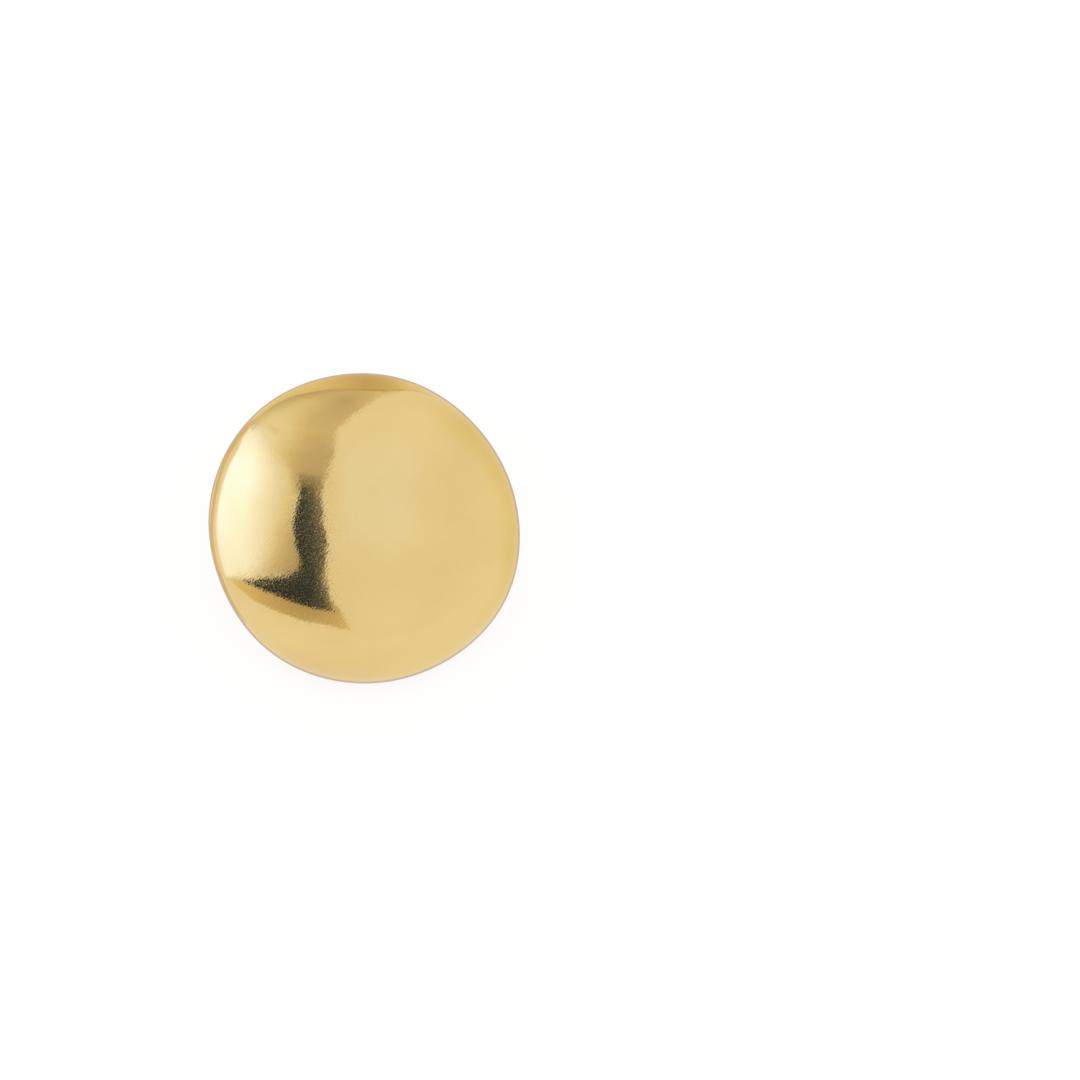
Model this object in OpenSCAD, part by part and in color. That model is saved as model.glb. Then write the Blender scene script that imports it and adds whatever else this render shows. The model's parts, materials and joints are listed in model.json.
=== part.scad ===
// Button earring: a hollow domed disc with a turned edge, a back plate with an ear post, and an ear nut.
// It lies on its back as it does when it is put down: the rim and the tip of the post touch the ground.

/* [Dome] */
// Width of the dome across its widest line
dome_w = 28; // [24:0.5:32]
// Height of the dome from its widest line to its crown
crown_h = 7.8; // [6:0.2:10]
// Fullness of the shoulder: 2 is an ellipse, and more is fuller
fullness = 2.1; // [2:0.05:2.4]
// Thickness of the sheet
sheet = 0.7; // [0.6:0.1:1]
// Strength of the hand-worked waviness of the outline, where 1 is as measured
waviness = 1; // [0:0.1:1.2]

/* [Turned edge] */
// Height of the widest line above the underside of the turned edge
edge_h = 1.0; // [0.9:0.1:1.4]
// How far the rounded edge goes in under the widest line
edge_in = 0.9; // [0.8:0.1:1.2]
// Width of the flat lip that holds the back plate
lip_w = 0.9; // [0.7:0.1:1.2]

/* [Back plate] */
// Thickness of the back plate
plate_t = 0.6; // [0.5:0.1:0.8]

/* [Post] */
// Diameter of the ear post
post_d = 0.9; // [0.8:0.05:1]
// Length of the ear post from the back plate to its tip
post_len = 10.4; // [9.8:0.1:12]
// How far the post stands above the centre of the dome
post_up = 2.0; // [1:0.5:3]
// Radius of the fillet of solder round the foot of the post
solder_r = 0.5; // [0.3:0.1:0.7]
// Distance from the back plate to the middle of the friction notch
notch_at = 7.1; // [6.9:0.1:7.3]
// Depth of the friction notch
notch_deep = 0.09; // [0.06:0.01:0.12]
// Width of the friction notch
notch_w = 0.6; // [0.55:0.05:0.7]

/* [Nut] */
// Gap for the ear lobe, between the back plate and the nut
lobe_gap = 4.2; // [3.6:0.1:4.2]
// Diameter of the nut's flat base
nut_w = 5.4; // [5:0.2:6]
// Thickness of the strip that the nut is folded from
strip_t = 0.35; // [0.3:0.05:0.4]
// Width of the strip
strip_w = 3; // [2.4:0.2:3.4]
// Outer diameter of each of the two curls
curl_d = 2.2; // [2:0.1:2.3]
// Angle left open between the end of a curl and the base
curl_open = 40; // [20:5:50]
// Turn of the nut round the post
nut_turn = 20; // [0:5:90]

/* [Hidden] */
$fn = 64;

// Room between separate pieces
gap = 0.07;
// How deep one feature of a piece sinks into the next
sink = 0.1;
// Facets round the dome
around = 72;
// Rows of facets from the crown to the widest line, down the rounded edge, and up the inside
crown_rows = 14;
edge_rows = 4;
inside_rows = 11;

// Waves of the outline, each with its count round the rim, its height in mm and the angle of a crest
WAVES = [
    [2, 0.20, -43],
    [3, 0.07, -10],
    [4, 0.07, -26],
    [7, 0.02, 23],
];
wave_count = 0;
wave_height = 1;
wave_crest = 2;

// Heights are from the underside of the turned edge, where the dome stands square on it
dome_r = dome_w / 2;
post_r = post_d / 2;
plate_back = sheet + gap;
plate_front = plate_back + plate_t;
tip_z = plate_back - post_len;

// Radius of the hollow at height z, and of the plate, which stays clear of the facets there
function hollow_r(z) =
    (dome_r - sheet) * pow(1 - pow(max(0, z - edge_h) / (crown_h - sheet), fullness), 1 / fullness);
plate_r = hollow_r(plate_front) - 2 * gap;

// Radius of the outline in direction a, as a share of its mean radius
function outline(a) =
    1 + waviness / dome_r
        * sum([for (w = WAVES) w[wave_height] * cos(w[wave_count] * (a - w[wave_crest]))]);
function sum(list, i = 0) = i < len(list) ? list[i] + sum(list, i + 1) : 0;

// Point at share t of a quarter of a superellipse, from its top to its side
function arc_point(side, top, t) =
    [side * pow(sin(90 * t), 2 / fullness), top * pow(cos(90 * t), 2 / fullness)];

// Profile rows as [radius, height]: over the crown, round the edge, along the lip and back up inside
function crown_row(t) = arc_point(dome_r, crown_h, t) + [0, edge_h];
function edge_row(t) = [dome_r - edge_in * (1 - cos(90 * t)), edge_h * (1 - sin(90 * t))];
function inside_row(t) = arc_point(dome_r - sheet, crown_h - sheet, t) + [0, edge_h];
lip_r = dome_r - edge_in - lip_w;
profile = concat(
    [for (i = [1:crown_rows]) crown_row(i / crown_rows)],
    [for (i = [1:edge_rows]) edge_row(i / edge_rows)],
    [[lip_r, 0], [lip_r, sheet], [dome_r - sheet, sheet]],
    [for (i = [inside_rows:-1:1]) inside_row(i / inside_rows)]
);

function rim_point(row, a) = [row[0] * outline(a) * cos(a), row[0] * outline(a) * sin(a), row[1]];
// The first facet straddles the X axis, and so another one lies flat under the dome
function facet_angle(i) = 360 * (i + 0.5) / around;
function ring(row) = [for (i = [0:around - 1]) rim_point(row, facet_angle(i))];

// The tilt at which the dome's edge and the tip of the post touch the ground together
edge_points = [for (i = [0:edge_rows]) each ring(edge_row(i / edge_rows))];
function height_of(p, tilt) = p[1] * sin(tilt) + p[2] * cos(tilt);
function edge_low(tilt) = min([for (p = edge_points) height_of(p, tilt)]);
function tip_low(tilt) = height_of([0, post_up, tip_z + post_r], tilt) - post_r;
function rest_tilt(low, high, tries) =
    let (middle = (low + high) / 2)
    tries == 0 ? middle
    : tip_low(middle) < edge_low(middle) ? rest_tilt(middle, high, tries - 1)
    : rest_tilt(low, middle, tries - 1);
tilt = rest_tilt(10, 60, 30);
lift = -tip_low(tilt);

// The middle of the tipped dome, which goes over the origin
dome_points = [for (row = profile) each ring(row)];
function middle(values) = (min(values) + max(values)) / 2;
middle_x = middle([for (p = dome_points) p[0]]);
middle_y = middle([for (p = dome_points) p[1] * cos(tilt) - p[2] * sin(tilt)]);

// Everything is drawn square to the dome, then tipped back until it rests
module at_rest() {
    translate([-middle_x, -middle_y, lift])
        rotate([tilt, 0, 0])
            children();
}

// A closed shell through rings of points that share one profile, with a point at each end
module ring_shell(rows, first_z, last_z) {
    count = len(rows);
    last = count * around + 1;
    function at(j, i) = 1 + j * around + i % around;
    points = concat([[0, 0, first_z]], [for (row = rows) each ring(row)], [[0, 0, last_z]]);
    faces = concat(
        [for (i = [0:around - 1]) [0, at(0, i + 1), at(0, i)]],
        [for (j = [0:count - 2], i = [0:around - 1]) each [
            [at(j, i), at(j, i + 1), at(j + 1, i + 1)],
            [at(j, i), at(j + 1, i + 1), at(j + 1, i)],
        ]],
        [for (i = [0:around - 1]) [last, at(count - 1, i), at(count - 1, i + 1)]]
    );
    polyhedron(points, faces);
}

module dome_shell() {
    color("#E3C078")
        at_rest()
            ring_shell(profile, edge_h + crown_h, edge_h + crown_h - sheet);
}

// Half the section of the post, with its rounded tip, friction notch and solder fillet
module post_section() {
    notch_z = plate_back - notch_at;
    notch_r = (pow(notch_w / 2, 2) + pow(notch_deep, 2)) / (2 * notch_deep);
    difference() {
        union() {
            translate([0, tip_z + post_r])
                square([post_r, post_len - post_r + sink]);
            intersection() {
                translate([0, tip_z + post_r])
                    circle(post_r);
                translate([0, tip_z])
                    square(post_d);
            }
            difference() {
                translate([0, plate_back - solder_r])
                    square([post_r + solder_r, solder_r + sink]);
                translate([post_r + solder_r, plate_back - solder_r])
                    circle(solder_r);
            }
        }
        translate([post_r + notch_r - notch_deep, notch_z])
            circle(notch_r);
    }
}

module back_plate() {
    color("#DDBB72")
        at_rest() {
            translate([0, 0, plate_back])
                linear_extrude(plate_t)
                    polygon([for (p = ring([plate_r, 0])) [p[0], p[1]]]);
            translate([0, post_up, 0])
                rotate_extrude()
                    post_section();
        }
}

// One end of the strip, curled outwards from the base, round and back beside the post
module curl() {
    curl_r = curl_d / 2;
    joined = 105;
    function ray(a) = curl_d * [cos(a), sin(a)];
    translate([post_r + gap + curl_r, strip_w / 2, sink - strip_t - curl_r])
        rotate([90, 0, 0])
            linear_extrude(strip_w)
                difference() {
                    circle(curl_r);
                    circle(curl_r - strip_t);
                    polygon([[0, 0], ray(joined), ray(joined + curl_open)]);
                }
}

module ear_nut() {
    color("#E0BE75")
        at_rest()
            translate([0, post_up, plate_back - lobe_gap])
                rotate([0, 0, nut_turn])
                    difference() {
                        union() {
                            translate([0, 0, -strip_t])
                                cylinder(h = strip_t, d = nut_w);
                            curl();
                            mirror([1, 0, 0])
                                curl();
                        }
                        translate([0, 0, -strip_t - 1])
                            cylinder(h = strip_t + 2, r = post_r + gap);
                    }
}

dome_shell();
back_plate();
ear_nut();
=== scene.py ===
"""Looks for a round domed button earring in polished gold-plated brass.

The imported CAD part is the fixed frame. The dome, the back plate with its post and the nut are built
again as smooth pieces in the earring's own frame, which is square to the dome and in millimetres, and
are then tipped into the row frame as the CAD part lies. The studio is a white room with cards that only
metal mirrors, each placed where the dome shows it to the camera.
"""

import json
import logging
import math
from dataclasses import dataclass
from enum import Enum
from functools import partial
from typing import Any, Iterable, Sequence

import bpy
from mathutils import Matrix, Vector


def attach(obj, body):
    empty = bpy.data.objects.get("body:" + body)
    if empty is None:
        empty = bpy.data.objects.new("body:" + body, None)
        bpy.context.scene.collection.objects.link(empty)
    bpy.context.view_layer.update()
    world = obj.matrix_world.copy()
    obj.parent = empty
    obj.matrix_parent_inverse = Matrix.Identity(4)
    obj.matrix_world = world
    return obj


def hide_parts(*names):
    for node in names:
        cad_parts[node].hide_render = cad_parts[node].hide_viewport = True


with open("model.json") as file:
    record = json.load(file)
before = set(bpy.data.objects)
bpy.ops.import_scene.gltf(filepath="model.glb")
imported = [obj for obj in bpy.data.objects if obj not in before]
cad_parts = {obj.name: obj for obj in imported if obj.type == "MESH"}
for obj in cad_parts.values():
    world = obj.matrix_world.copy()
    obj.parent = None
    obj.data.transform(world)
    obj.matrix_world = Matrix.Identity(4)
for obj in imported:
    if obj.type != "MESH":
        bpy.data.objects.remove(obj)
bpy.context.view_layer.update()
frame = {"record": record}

logging.basicConfig(level=logging.INFO, format="%(name)s: %(message)s")
log = logging.getLogger("button_earring")

MM = 0.001

# A place on the dome as seen along its axis: right and up, as shares of its radius
Place = tuple[float, float]


class Slot(Enum):
    """The record's material slots."""

    POLISHED = "polished_gold_plate"
    SATIN = "satin_gold_plate"
    BRIGHT = "bright_gold_plate"


class Shown(Enum):
    """Which rays meet a thing of the studio."""

    TO_ALL = "to all"
    NOT_IN_METAL = "not in metal"
    ONLY_IN_METAL = "only in metal"


def hex_to_linear(code: str) -> tuple[float, float, float]:
    """Turns an sRGB hex colour to linear light.

    Args:
        code: The colour as "#RRGGBB".

    Returns:
        Red, green and blue from 0 to 1.
    """
    parts = (int(code[i : i + 2], 16) / 255 for i in (1, 3, 5))
    return tuple(c / 12.92 if c <= 0.04045 else ((c + 0.055) / 1.055) ** 2.4 for c in parts)


def colour(code: str) -> tuple[float, float, float, float]:
    """Returns an sRGB hex colour as linear light with full alpha."""
    return (*hex_to_linear(code), 1.0)


def add_node(tree: bpy.types.NodeTree, kind: str, inputs: Any = None, **settings: Any) -> bpy.types.Node:
    """Adds a node with its settings, values and links.

    Args:
        tree: The tree to add it to.
        kind: The node's type name.
        inputs: Values by socket name, or a list of values by place, where None leaves a socket alone.
            A node or an output socket as a value is linked.
        **settings: The node's own properties.

    Returns:
        The new node.
    """
    node = tree.nodes.new(kind)
    for name, value in settings.items():
        setattr(node, name, value)
    sockets = [s for s in node.inputs if s.enabled]
    if isinstance(inputs, dict):
        pairs = [(next(s for s in sockets if s.name == name), value) for name, value in inputs.items()]
    else:
        pairs = [(s, value) for s, value in zip(sockets, inputs or ()) if value is not None]
    for socket, value in pairs:
        if isinstance(value, bpy.types.Node):
            value = next(s for s in value.outputs if s.enabled)
        if isinstance(value, bpy.types.NodeSocket):
            tree.links.new(value, socket)
        else:
            socket.default_value = value
    return node


def plain_object(name: str, data: bpy.types.ID) -> bpy.types.Object:
    """Puts a mesh, a camera or a light into the scene as an object at the origin.

    Args:
        name: The object's name.
        data: What it holds.

    Returns:
        The new object.
    """
    thing = bpy.data.objects.new(name, data)
    bpy.context.scene.collection.objects.link(thing)
    return thing


def start_tree(name: str, inputs: Sequence[tuple[str, str]], output: str) -> tuple[bpy.types.NodeTree, Any]:
    """Starts a Geometry Nodes tree with its named sockets.

    Args:
        name: The tree's name.
        inputs: The name and kind of each input of its own. The place of rest and the metal follow them.
        output: The name of its output.

    Returns:
        The tree, and the sockets of its inputs by name.
    """
    tree = bpy.data.node_groups.new(name, "GeometryNodeTree")
    shared = (
        ("Rest Tilt", "NodeSocketFloat"),
        ("Rest Place", "NodeSocketVector"),
        ("Metal", "NodeSocketMaterial"),
    )
    for label, kind in (*inputs, *shared):
        tree.interface.new_socket(label, in_out="INPUT", socket_type=kind)
    tree.interface.new_socket(output, in_out="OUTPUT", socket_type="NodeSocketGeometry")
    return tree, tree.nodes.new("NodeGroupInput").outputs


def end_tree(tree: bpy.types.NodeTree, given: Any, shape: bpy.types.Node) -> None:
    """Ends a tree: tips the shape back as the earring lies, scales it from mm, smooths and dresses it.

    Args:
        tree: The tree.
        given: The sockets of its inputs by name.
        shape: The node that gives the shape in the earring's own frame.
    """
    tilt = add_node(tree, "ShaderNodeCombineXYZ", [given["Rest Tilt"]])
    placed = add_node(
        tree,
        "GeometryNodeTransform",
        {
            "Geometry": shape,
            "Translation": given["Rest Place"],
            "Rotation": tilt,
            "Scale": (MM, MM, MM),
        },
    )
    plain = add_node(tree, "GeometryNodeRealizeInstances", {"Geometry": placed})
    smooth = add_node(tree, "GeometryNodeSetShadeSmooth", {"Geometry": plain})
    dressed = add_node(tree, "GeometryNodeSetMaterial", {"Geometry": smooth, "Material": given["Metal"]})
    add_node(tree, "NodeGroupOutput", [dressed])


@dataclass(frozen=True)
class RestPose:
    """How the earring lies: where its own frame stands in the row frame."""

    tilt: float
    place: Vector

    @classmethod
    def from_record(cls, record: dict[str, Any], foot: Vector) -> "RestPose":
        """Works the pose out from the mount at the foot of the ear post.

        Args:
            record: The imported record.
            foot: The foot of the post in the earring's own frame, in millimetres.

        Returns:
            The pose in which the mount is at that foot, with its axis along the post.
        """
        mount = next(m for m in record["mounts"] if m["name"] == "ear_lobe")
        away = Vector(mount["axis"])
        tilt = math.atan2(away.y, -away.z)
        turned = Matrix.Rotation(tilt, 3, "X") @ (foot * MM)
        return cls(tilt, Vector(mount["pos_m"]) - turned)

    def point(self, own: Vector) -> Vector:
        """Returns where a point of the earring's own frame lies in the row frame."""
        return self.place + Matrix.Rotation(self.tilt, 3, "X") @ (own * MM)

    def direction(self, own: Vector) -> Vector:
        """Returns a direction of the earring's own frame in the row frame."""
        return Matrix.Rotation(self.tilt, 3, "X") @ own


@dataclass(frozen=True)
class Row:
    """One ring of a turned piece, in millimetres."""

    radius: float
    height: float
    up: float = 0.0  # how far the ring's middle lies from the dome's axis, towards the picture's top
    outline: float = 1.0  # how much of the dome's uneven outline it takes


def rounded_rows(corners: Sequence[Row], radius: float, steps: int = 4) -> list[Row]:
    """Rounds the corners between straight runs of a section.

    Args:
        corners: The section's corners. The first and last stay sharp.
        radius: How far each rounding reaches along its two sides.
        steps: How many rows it takes.

    Returns:
        The rows, with one just before and after each rounding, so that flat faces stay flat to the eye.
    """
    hold = 0.1  # how far past a rounding the row lies that holds the flat face, as a share of its reach
    apart = 2.2  # a side's length over the most that a rounding may take of it, so that two never meet

    def between(a: Row, b: Row, share: float) -> Row:
        """Returns the row at a share of the way from a to b."""
        pairs = ((a.radius, b.radius), (a.height, b.height), (a.up, b.up), (a.outline, b.outline))
        return Row(*(x + (y - x) * share for x, y in pairs))

    rows = [corners[0]]
    for before, corner, after in zip(corners, corners[1:], corners[2:]):
        ends = []
        for other in (before, after):
            length = math.hypot(other.radius - corner.radius, other.height - corner.height)
            reach = min(radius, length / apart) / length
            ends.append((between(corner, other, reach), between(corner, other, reach * (1 + hold))))
        (start, start_hold), (end, end_hold) = ends
        rows.append(start_hold)
        for i in range(steps + 1):
            share = i / steps
            rows.append(between(between(start, corner, share), between(corner, end, share), share))
        rows.append(end_hold)
    rows.append(corners[-1])
    return rows


@dataclass(frozen=True)
class Outline:
    """The hand-worked, slightly uneven outline of the dome."""

    mean_radius: float = 13.963  # 14 mm less the rise of the CAD facets' arc, so that it lies within them
    # Each wave's count round the rim, its height in mm and the angle of a crest in degrees
    waves: tuple[tuple[int, float, float], ...] = (
        (2, 0.20, -43.0),
        (3, 0.07, -10.0),
        (4, 0.07, -26.0),
        (7, 0.02, 23.0),
    )

    def share(self, angle: float) -> float:
        """Returns the radius at an angle in radians as a share of the mean radius."""
        waves = sum(h * math.cos(n * (angle - math.radians(a))) for n, h, a in self.waves)
        return 1 + waves / self.mean_radius


class TurnedPiece:
    """Builds closed pieces from rings of one section with Geometry Nodes."""

    MERGE = 0.0005  # in mm

    def __init__(self, outline: Outline) -> None:
        """Keeps the outline and builds the tree that every turned piece shares."""
        self.outline = outline
        self.tree = self._tree()

    def _tree(self) -> bpy.types.NodeTree:
        """Builds the tree that wraps a grid round the section's rows.

        Returns:
            The node tree. Its geometry input holds one point for each row: X is the ring's radius,
            Y how far its middle lies up, and Z its height.
        """
        inputs = (
            ("Section", "NodeSocketGeometry"),
            ("Rows", "NodeSocketInt"),
            ("Around", "NodeSocketInt"),
            ("Mean Radius", "NodeSocketFloat"),
        )
        tree, given = start_tree("turned_piece", inputs, "Piece")
        add = partial(add_node, tree)

        # Which row and which place round it a point of the grid is
        around = add("ShaderNodeMath", [given["Around"], 1.0], operation="ADD")
        grid = add(
            "GeometryNodeMeshGrid",
            {"Size X": 1.0, "Size Y": 1.0, "Vertices X": given["Rows"], "Vertices Y": around},
        )
        index = add("GeometryNodeInputIndex")
        rows_passed = add("ShaderNodeMath", [index, around], operation="DIVIDE")
        row = add("ShaderNodeMath", [rows_passed], operation="FLOOR")
        column = add("ShaderNodeMath", [index, around], operation="MODULO")
        turn = add("ShaderNodeMath", [column, given["Around"]], operation="DIVIDE")
        angle = add("ShaderNodeMath", [turn, math.tau], operation="MULTIPLY")

        # The section at this row
        sampled = add(
            "GeometryNodeSampleIndex",
            {"Geometry": given["Section"], "Value": add("GeometryNodeInputPosition"), "Index": row},
            data_type="FLOAT_VECTOR",
        )
        section = add("ShaderNodeSeparateXYZ", [sampled])
        uneven = add("GeometryNodeInputNamedAttribute", {"Name": "outline"}, data_type="FLOAT")
        share = add(
            "GeometryNodeSampleIndex",
            {"Geometry": given["Section"], "Value": uneven, "Index": row},
            data_type="FLOAT",
        )

        # The waves of the outline, one after the other
        total: Any = 0.0
        for count, height, crest in self.outline.waves:
            from_crest = add("ShaderNodeMath", [angle, math.radians(crest)], operation="SUBTRACT")
            phase = add("ShaderNodeMath", [from_crest, float(count)], operation="MULTIPLY")
            wave = add("ShaderNodeMath", [phase], operation="COSINE")
            total = add("ShaderNodeMath", [wave, height, total], operation="MULTIPLY_ADD")
        relative = add("ShaderNodeMath", [total, given["Mean Radius"]], operation="DIVIDE")
        factor = add("ShaderNodeMath", [relative, share, 1.0], operation="MULTIPLY_ADD")
        radius = add("ShaderNodeMath", [section.outputs["X"], factor], operation="MULTIPLY")
        cosine = add("ShaderNodeMath", [angle], operation="COSINE")
        sine = add("ShaderNodeMath", [angle], operation="SINE")
        across = add("ShaderNodeMath", [cosine, radius], operation="MULTIPLY")
        up = add("ShaderNodeMath", [sine, radius, section.outputs["Y"]], operation="MULTIPLY_ADD")
        wrapped = add(
            "GeometryNodeSetPosition",
            {"Geometry": grid, "Position": add("ShaderNodeCombineXYZ", [across, up, section.outputs["Z"]])},
        )

        # Close the seam and the poles
        closed = add("GeometryNodeMergeByDistance", {"Geometry": wrapped, "Distance": self.MERGE})
        end_tree(tree, given, closed)
        return tree

    def build(
        self, name: str, rows: Sequence[Row], around: int, pose: RestPose, metal: bpy.types.Material
    ) -> bpy.types.Object:
        """Builds a piece from the rows of its section.

        Args:
            name: The piece's name.
            rows: The rows, in order, from one pole to the other or all the way round a closed ring.
            around: How many faces each ring has.
            pose: Where the earring lies.
            metal: The piece's material.

        Returns:
            The piece as a plain mesh object at the origin.
        """
        section = bpy.data.meshes.new(name + "_section")
        section.from_pydata([(r.radius, r.up, r.height) for r in rows], [], [])
        share = section.attributes.new("outline", "FLOAT", "POINT")
        share.data.foreach_set("value", [r.outline for r in rows])
        inputs = {"Rows": len(rows), "Around": around, "Mean Radius": self.outline.mean_radius}
        return grown(name, section, self.tree, inputs, pose, metal)


def grown(
    name: str,
    start: bpy.types.Mesh,
    tree: bpy.types.NodeTree,
    inputs: dict[str, Any],
    pose: RestPose,
    metal: bpy.types.Material,
) -> bpy.types.Object:
    """Runs a Geometry Nodes tree on a mesh and keeps the result as a plain mesh.

    Args:
        name: The new object's name.
        start: The mesh that the tree starts from.
        tree: The tree.
        inputs: The tree's own inputs by name.
        pose: Where the earring lies.
        metal: The material of the result.

    Returns:
        An object at the origin that holds the result, with no modifier.
    """
    inputs = {**inputs, "Rest Tilt": pose.tilt, "Rest Place": pose.place, "Metal": metal}
    thing = plain_object(name, start)
    modifier = thing.modifiers.new("grow", "NODES")
    modifier.node_group = tree
    for socket in tree.interface.items_tree:
        if socket.item_type == "SOCKET" and socket.in_out == "INPUT" and socket.name in inputs:
            modifier[socket.identifier] = inputs[socket.name]
    graph = bpy.context.evaluated_depsgraph_get()
    result = bpy.data.meshes.new_from_object(thing.evaluated_get(graph), depsgraph=graph)
    thing.modifiers.remove(modifier)
    thing.data = result
    result.name = name
    bpy.data.meshes.remove(start)
    return thing


@dataclass(frozen=True)
class DomeShell:
    """The hollow dome with its turned edge, in millimetres."""

    outline: Outline = Outline()
    crown_h: float = 7.8
    fullness: float = 2.1  # 2 is an ellipse, and more is fuller at the shoulder
    sheet: float = 0.7
    edge_h: float = 1.0
    edge_in: float = 0.9
    lip_w: float = 0.9
    lip_round: float = 0.12
    around: int = 288
    crown_rows: int = 90
    edge_rows: int = 14
    inside_rows: int = 36

    def arc(self, side: float, top: float, t: float) -> tuple[float, float]:
        """Works out a point of a shoulder in section.

        Args:
            side: The radius at its side.
            top: How far its top lies above its side.
            t: The share of the way from its top to its side.

        Returns:
            The point's radius and height.
        """
        turn = math.radians(90 * t)
        power = 2 / self.fullness
        return side * math.sin(turn) ** power, top * max(0.0, math.cos(turn)) ** power + self.edge_h

    def rows(self) -> list[Row]:
        """Lists the section's rows.

        Returns:
            The rows over the crown, round the edge, along the lip and back up inside.
        """
        radius = self.outline.mean_radius
        rows = [Row(0.0, self.edge_h + self.crown_h)]
        for i in range(1, self.crown_rows + 1):
            rows.append(Row(*self.arc(radius, self.crown_h, i / self.crown_rows)))
        for i in range(1, self.edge_rows + 1):
            turn = math.radians(90 * i / self.edge_rows)
            rows.append(Row(radius - self.edge_in * (1 - math.cos(turn)), self.edge_h * (1 - math.sin(turn))))
        lip = radius - self.edge_in - self.lip_w
        inner = radius - self.sheet
        lip_corners = [rows[-1], Row(lip, 0.0), Row(lip, self.sheet), Row(inner, self.sheet)]
        rows += rounded_rows(lip_corners, self.lip_round)[1:]
        hollow_h = self.crown_h - self.sheet
        for i in range(self.inside_rows, 0, -1):
            rows.append(Row(*self.arc(inner, hollow_h, i / self.inside_rows)))
        rows.append(Row(0.0, self.edge_h + hollow_h))
        return rows

    def point(self, share: float, angle: float) -> Vector:
        """Works out a point of the crown's outer face.

        Args:
            share: Its share of the radius in its direction.
            angle: Its direction in radians.

        Returns:
            The point in the earring's own frame.
        """
        radius = self.outline.mean_radius
        reach = radius * share * self.outline.share(angle)
        rise = self.crown_h * (1 - min(1.0, share) ** self.fullness) ** (1 / self.fullness)
        return Vector((reach * math.cos(angle), reach * math.sin(angle), self.edge_h + rise))

    def spot(self, place: Place) -> tuple[Vector, Vector]:
        """Finds the point and the normal of the crown at a place of its picture.

        Args:
            place: Right and up from the middle, as shares of the mean radius.

        Returns:
            The point in mm and the outward normal, both in the earring's own frame.
        """
        most = 0.9985  # just short of the edge, where the crown stands upright
        step = 0.0005  # how far off the points lie that give the normal
        angle = math.atan2(place[1], place[0])
        share = min(most, math.hypot(*place) / self.outline.share(angle))
        share = max(share, 2 * step)
        outwards = self.point(share + step, angle) - self.point(share - step, angle)
        round_it = self.point(share, angle + step) - self.point(share, angle - step)
        return self.point(share, angle), outwards.cross(round_it).normalized()

    def build(self, turning: TurnedPiece, pose: RestPose, metal: bpy.types.Material) -> bpy.types.Object:
        """Builds the dome as one closed shell.

        Args:
            turning: The builder of turned pieces.
            pose: Where the earring lies.
            metal: The dome's material.

        Returns:
            The piece, which stands for the CAD node dome_shell.
        """
        piece = turning.build("polished_dome", self.rows(), self.around, pose, metal)
        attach(piece, "root")
        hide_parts("dome_shell")
        return piece


@dataclass(frozen=True)
class BackPlate:
    """The back plate with its soldered ear post, in millimetres."""

    dome: DomeShell = DomeShell()
    gap: float = 0.07
    plate_t: float = 0.6
    post_d: float = 0.9
    post_len: float = 10.4
    post_up: float = 2.0
    solder_r: float = 0.5
    notch_at: float = 7.1
    notch_deep: float = 0.09
    notch_w: float = 0.6
    plate_round: float = 0.1
    around: int = 192
    curve_rows: int = 10  # for the tip, the notch and the solder each

    @property
    def back(self) -> float:
        """Height of the plate's back face."""
        return self.dome.sheet + self.gap

    @property
    def foot(self) -> Vector:
        """Where the post meets the plate's back face."""
        return Vector((0.0, self.post_up, self.back))

    @property
    def radius(self) -> float:
        """Works out the radius of the plate.

        Returns:
            The radius, which stays clear of the dome's inside.
        """
        dome = self.dome
        rise = max(0.0, self.back + self.plate_t - dome.edge_h) / (dome.crown_h - dome.sheet)
        hollow = (dome.outline.mean_radius - dome.sheet) * (1 - rise**dome.fullness) ** (1 / dome.fullness)
        return hollow - 2 * self.gap

    def rows(self) -> list[Row]:
        """Lists the section's rows.

        Returns:
            The rows from the tip of the post up to the solder, over the plate's back, round its edge
            and in to the middle of its front.
        """
        r = self.post_d / 2
        tip = self.back - self.post_len
        rows = []
        # How far from the notch, the solder and the solder's foot the rows lie that hold the straight faces
        by_notch, by_solder, by_foot = 0.03, 0.2, 0.1
        for i in range(self.curve_rows + 1):
            turn = math.radians(90 * i / self.curve_rows)
            rows.append((r * math.sin(turn), tip + r * (1 - math.cos(turn))))
        # The notch is a shallow arc
        notch_z = self.back - self.notch_at
        notch_r = (self.notch_w**2 / 4 + self.notch_deep**2) / (2 * self.notch_deep)
        rows.append((r, notch_z - self.notch_w / 2 - by_notch))
        for i in range(self.curve_rows + 1):
            z = self.notch_w * (i / self.curve_rows - 0.5)
            rows.append((r + notch_r - self.notch_deep - math.sqrt(notch_r**2 - z**2), notch_z + z))
        rows.append((r, notch_z + self.notch_w / 2 + by_notch))
        rows.append((r, self.back - self.solder_r - by_solder))
        # The solder rises in a hollow curve
        flow = self.solder_r
        for i in range(self.curve_rows + 1):
            turn = math.radians(90 * i / self.curve_rows)
            rows.append((r + flow * (1 - math.cos(turn)), self.back - flow * (1 - math.sin(turn))))
        post = [Row(radius, height, self.post_up, 0.0) for radius, height in rows]
        front = self.back + self.plate_t
        plate = [
            post[-1],
            Row(r + flow + by_foot, self.back, self.post_up, 0.0),
            Row(self.radius, self.back),
            Row(self.radius, front),
            Row(0.0, front),
        ]
        return post[:-1] + rounded_rows(plate, self.plate_round)

    def build(self, turning: TurnedPiece, pose: RestPose, metal: bpy.types.Material) -> bpy.types.Object:
        """Builds the plate and the post as one closed piece.

        Args:
            turning: The builder of turned pieces.
            pose: Where the earring lies.
            metal: The plate's material.

        Returns:
            The piece, which stands for the CAD node back_plate.
        """
        piece = turning.build("back_plate_and_post", self.rows(), self.around, pose, metal)
        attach(piece, "root")
        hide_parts("back_plate")
        return piece


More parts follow.
